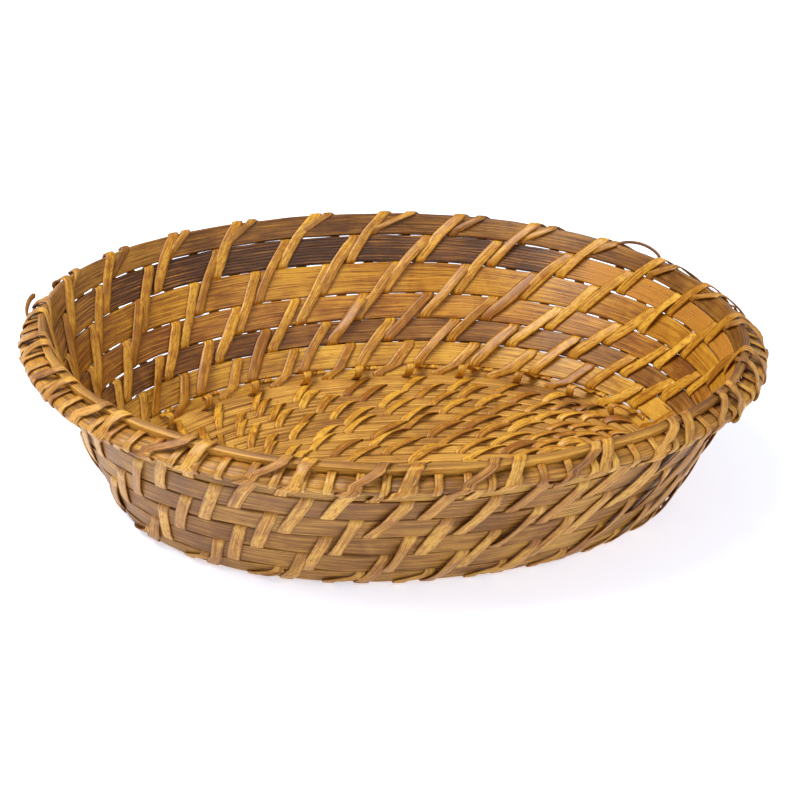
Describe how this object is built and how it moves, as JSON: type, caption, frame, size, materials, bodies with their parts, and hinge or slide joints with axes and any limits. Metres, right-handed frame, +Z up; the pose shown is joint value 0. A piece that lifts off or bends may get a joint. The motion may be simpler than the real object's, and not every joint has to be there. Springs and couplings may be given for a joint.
{
  "type": "woven wicker basket",
  "caption": "Shallow oval open basket of flat cane rows bound by helical cane strands, with a lashed double rim hoop and a coiled flat base.",
  "frame": {"origin": "centre of the overall box at the level that the basket stands on", "axes": "+X along the oval mouth's long axis, +Y towards the wall that leans out most, +Z up"},
  "size_m": [0.3611, 0.318, 0.0818],
  "materials": {
    "gold_cane": "glossy golden cane skin, blotched",
    "dark_cane": "dark ribbed vine strip, satin",
    "split_cane": "split fibrous cane core, dull",
    "stitching_cane": "narrow split cane stitching strand, satin"
  },
  "bodies": {
    "root": {"inner_rim_hoop": "gold_cane", "outer_rim_hoop": "gold_cane", "wall_row_1": "dark_cane", "wall_row_2": "gold_cane", "wall_row_3": "gold_cane", "wall_row_4": "gold_cane", "wall_row_5": "gold_cane", "wall_row_6": "gold_cane", "base_row_01": "split_cane", "base_row_02": "split_cane", "base_row_03": "split_cane", "base_row_04": "split_cane", "base_row_05": "split_cane", "base_row_06": "split_cane", "base_row_07": "split_cane", "base_row_08": "split_cane", "base_row_09": "split_cane", "base_row_10": "split_cane", "base_core": "split_cane", "rim_lashing": "stitching_cane", "rim_wrap": "stitching_cane", "wall_binder_1": "stitching_cane", "wall_binder_2": "stitching_cane", "wall_binder_3": "stitching_cane", "wall_binder_4": "stitching_cane", "wall_binder_5": "stitching_cane", "foot_binder": "stitching_cane", "base_binder_1": "stitching_cane", "base_binder_2": "stitching_cane", "base_binder_3": "stitching_cane", "base_binder_4": "stitching_cane", "base_binder_5": "stitching_cane"}
  },
  "joints": []
}
